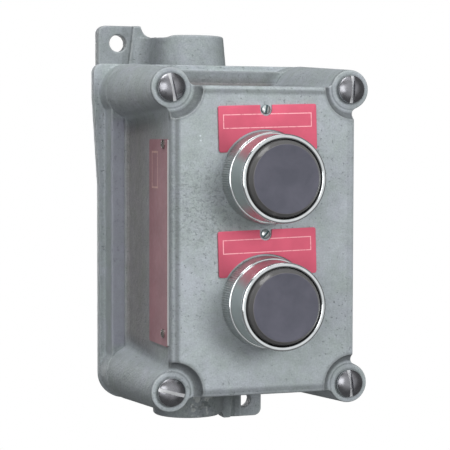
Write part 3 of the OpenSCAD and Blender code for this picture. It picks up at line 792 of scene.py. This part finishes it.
def cover_screws():
    bm = bmesh.new()
    for (sx, sy), turn in COVER_SCREW_TURNS.items():
        one = screw(slotted_head(turn=turn, **LARGE_HEAD), 3.95, 90, 1.4)
        # The plain part of the shank, as thick as the thread's crest
        join(one, lathe([(0, 0.1), (3.9, 0.1), (3.9, -58), (3.3, -59), (0, -59)], 32))
        join(bm, one, Matrix.Translation((sx * SCREW_X, sy * SCREW_Y, SEAT_Z)))
    piece("cover_screw_set", bm, "enclosure", "steel", STEEL, "cover_screws")


def legend_screws():
    bm = bmesh.new()
    for side, turn in LEGEND_SCREW_TURNS.items():
        one = screw(slotted_head(turn=turn, **SMALL_HEAD), 1.4, 5, 0.7)
        join(bm, one, Matrix.Translation((0, BUTTONS[side] + LEGEND_SCREW_RISE, PANEL_Z)))
    piece("legend_screw_set", bm, "enclosure", "zinc", SLOTTED_ZINC, "legend_screws")


# Operators

def clamp_ring(side):
    """A ring with fine straight knurls: every other pair of steps is pushed in."""
    profile = [(15.4, PANEL_Z), (23.7, PANEL_Z), (23.25, 162.2), (22.8, RING_TOP), (15.4, RING_TOP)]
    bm = lathe(profile, KNURL_STEPS, closed=True)
    bmesh.ops.subdivide_edges(bm, edges=[
        e for e in bm.edges
        if abs(e.verts[0].co.z - e.verts[1].co.z) > 5 and e.verts[0].co.xy.length > 20
    ], cuts=1)
    for v in bm.verts:
        r = v.co.xy.length
        step = round(math.atan2(v.co.y, v.co.x) / TURN * KNURL_STEPS)
        if r > 23.1 and step % 4 > 1:
            v.co.xy *= (r - KNURL_DEPTH) / r
    lift(bm, side)
    piece(side + "_knurled_ring", bm, "enclosure", "knurled_metal", KNURL, side + "_clamp_ring", sharp=60)


def guard_ring(side):
    """Base flange, drafted sleeve and rounded lip, then down inside to the floor."""
    profile = [
        (15.4, RING_TOP), (22.9, RING_TOP), (23.2, 163.4), (23.2, 163.9), (23.05, 164.15), (22.45, 164.2),
        (22.35, 164.5), (21.55, 177.6), (21.6, 178.1), (21.95, 178.45), (22.2, 179.05), (22.25, 179.8),
        (22.17, 180.4), (21.9, 180.8), (21.3, LIP_Z), (20.6, LIP_Z), (20.05, 180.85), (19.85, 180.5),
        (19.8, 180.0), (19.8, 167.0), (15.4, 167.0),
    ]
    bm = lathe(profile, 160, closed=True)
    lift(bm, side)
    piece(side + "_guard", bm, "enclosure", "chrome", CHROME, side + "_guard_ring", sharp=60)


def button_cap(side):
    """A hollow cap with a boss for the shaft, a bevel and a low bead round its face."""
    profile = [
        (0, 181), (4.0, 181), (4.0, 173.6), (5.6, 173.6), (5.6, 178.5), (16.9, 178.5),
        (16.9, 173.6), (19.4, 173.6), (19.4, 179.9), (18.6, 181.9), (17.6, 182.95), (17.35, 183.4),
        (16.9, 183.5), (16.2, 183.34), (0, 183.34),
    ]
    bm = lathe(profile, 128)
    ease(bm, 0.16, lambda p: p.z > 179 and p.xy.length > 17, sharp=18)
    lift(bm, side)
    piece(side + "_cap", bm, side + "_button", "cap_plastic", CAP, side + "_button_cap", sharp=40)


def legend_plate(side):
    bm = cad_copy(side + "_legend_plate")
    bmesh.ops.dissolve_limit(bm, angle_limit=math.radians(1), verts=bm.verts, edges=bm.edges)
    ease(bm, 0.12)
    piece(side + "_legend", bm, "enclosure", "legend_red", LEGEND[side], side + "_legend_plate")


def coil(mean_radius, wire, bottom, top, turns):
    """A helical spring of round wire between two heights."""
    bm = bmesh.new()
    steps = turns * COIL_PARTS
    ring = bmesh.ops.create_circle(bm, cap_ends=True, radius=wire / 2, segments=10, matrix=(
        Matrix.Translation((mean_radius, 0, bottom + wire / 2)) @ Matrix.Rotation(math.pi / 2, 4, "X")
    ))
    edges = list({e for v in ring["verts"] for e in v.link_edges})
    return helix(bm, ring["verts"] + edges, (top - bottom - wire) / steps, steps, turns)


def springs(side):
    """Both springs, each a coil of round wire."""
    for name, mean, wire, bottom, top, turns in (
        ("return_spring", 7.2, 1.3, 157.2, 178.5, 5),
        ("carrier_spring", 3.0, 0.8, 105.0, 121.0, 6),
    ):
        bm = coil(mean, wire, bottom, top, turns)
        lift(bm, side)
        made = piece(side + "_" + name + "_coil", bm, "enclosure", "spring_steel", SPRING, side + "_" + name)
        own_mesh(made)


# Kept CAD nodes

def repaint(node, material):
    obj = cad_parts[node]
    obj.data.materials.clear()
    obj.data.materials.append(material)


def paint_kept_nodes():
    repaint("nameplate", NAMEPLATE)
    repaint("nameplate_screws", PLATE_STEEL)
    repaint("ground_screw", GREEN)
    kinds = {
        "operator_body": ZINC, "shaft_bushing": BRASS, "panel_gasket": RUBBER, "plunger_shaft": STEEL,
        "shaft_clip": SPRING, "contact_housing": PHENOLIC, "contact_lid": PHENOLIC, "block_screws": ZINC,
        "contact_carrier": CARRIER, "closed_bridge": SILVER, "open_bridge": SILVER,
        "closed_contacts": BRASS, "open_contacts": BRASS, "terminal_screws": ZINC,
    }
    for side in BUTTONS:
        for node, material in kinds.items():
            repaint(side + "_" + node, material)


# Stage and light

def backdrop_paint():
    """White to the eye, darker in the light that it scatters, and clear from behind."""
    m = shader("white backdrop")
    path = add(m, "ShaderNodeLightPath").outputs
    seen = math_node(m, "ADD", path["Is Camera Ray"], path["Is Glossy Ray"])
    seen = math_node(m, "ADD", seen, path["Is Transmission Ray"], clamp=True)
    pale = grey(m, remap(m, path["Is Camera Ray"], 0.0, 1.0, 0.26, 0.60))
    white = add(m, "ShaderNodeBsdfDiffuse", {"Color": pale}).outputs[0]
    glow = add(m, "ShaderNodeEmission", {"Strength": product(m, seen, 0.56)}).outputs[0]
    lit = add(m, "ShaderNodeAddShader", {0: white, 1: glow}).outputs[0]
    clear = add(m, "ShaderNodeBsdfTransparent").outputs[0]
    back = add(m, "ShaderNodeNewGeometry").outputs["Backfacing"]
    both = add(m, "ShaderNodeMixShader", {0: back, 1: lit, 2: clear}).outputs[0]
    add(m, "ShaderNodeOutputMaterial", {"Surface": both})
    return m


def backdrop():
    """A white wall behind the station that curves into a floor below it, in metres."""
    wall, top, foot, bend = 0.0015, 1.4, -0.25, 0.3
    front, half_width = -1.9, 1.8
    angles = [math.radians(d) for d in range(0, 91, 10)]
    curve = [(wall - bend + bend * math.cos(a), foot - bend * math.sin(a)) for a in angles]
    line = [(wall, top)] + curve + [(front, foot - bend)]
    bm = bmesh.new()
    points = [bm.verts.new((-half_width, y, z)) for y, z in line]
    edges = [bm.edges.new(pair) for pair in zip(points, points[1:])]
    made = bmesh.ops.extrude_edge_only(bm, edges=edges)["geom"]
    moved = [g for g in made if isinstance(g, bmesh.types.BMVert)]
    bmesh.ops.translate(bm, vec=(2 * half_width, 0, 0), verts=moved)
    bm.faces.ensure_lookup_table()
    if bm.faces[0].normal.y > 0:
        bmesh.ops.reverse_faces(bm, faces=bm.faces)
    for face in bm.faces:
        face.smooth = True
    mesh = bpy.data.meshes.new("backdrop")
    bm.to_mesh(mesh)
    bm.free()
    mesh.materials.append(backdrop_paint())
    obj = bpy.data.objects.new("backdrop", mesh)
    bpy.context.scene.collection.objects.link(obj)
    # The back lamp stands behind it and has to reach the part
    obj.visible_shadow = False


def soft_light(name, location, target, size, power, mirrored=True):
    data = bpy.data.lights.new(name, "AREA")
    data.shape = "SQUARE"
    data.size = size
    data.energy = power
    lamp = bpy.data.objects.new(name, data)
    lamp.visible_glossy = mirrored
    lamp.location = location
    lamp.rotation_euler = (Vector(target) - Vector(location)).to_track_quat("-Z", "Y").to_euler()
    bpy.context.scene.collection.objects.link(lamp)


def studio():
    """A world that is white to the eye, dim as light, and bright in mirrors toward the front."""
    scene = bpy.context.scene
    scene.view_settings.view_transform = "Standard"
    world = bpy.data.worlds.new("studio")
    scene.world = world
    world.use_nodes = True
    world.node_tree.nodes.clear()
    path = add(world, "ShaderNodeLightPath").outputs
    where = add(world, "ShaderNodeTexCoord").outputs["Generated"]
    ahead = add(world, "ShaderNodeVectorMath", {0: where, 1: (0.16, -0.973, 0.16)}, operation="DOT_PRODUCT")
    mirrored = remap(world, ahead.outputs["Value"], 0.62, 0.90, 0.18, 0.86)
    seen = math_node(world, "ADD", path["Is Camera Ray"], path["Is Transmission Ray"], clamp=True)
    level = math_node(world, "MAXIMUM", seen, product(world, path["Is Glossy Ray"], mirrored))
    level = math_node(world, "MAXIMUM", level, product(world, path["Is Diffuse Ray"], 0.176))
    sky = add(world, "ShaderNodeBackground", {"Color": (1, 1, 1, 1), "Strength": level})
    add(world, "ShaderNodeOutputWorld", {"Surface": sky.outputs[0]})
    middle = (0, -0.1, 0)
    soft_light("key", (0.95, -2.87, 0.78), middle, 1.1, 61, mirrored=False)
    soft_light("top", (0.1, -0.9, 1.9), middle, 1.2, 4.5)
    soft_light("fill", (-0.9, -1.4, 0.2), middle, 0.9, 7.4)
    soft_light("rim", (-0.5, -0.35, 1.1), middle, 0.6, 8)
    soft_light("back", (0.0, 2.4, 0.1), (0, 0, 0), 1.2, 24)


place_camera()
cover_casting()
box_casting()
conduit_threads()
cover_screws()
legend_screws()
for side in BUTTONS:
    clamp_ring(side)
    guard_ring(side)
    button_cap(side)
    legend_plate(side)
    springs(side)
paint_kept_nodes()
backdrop()
studio()
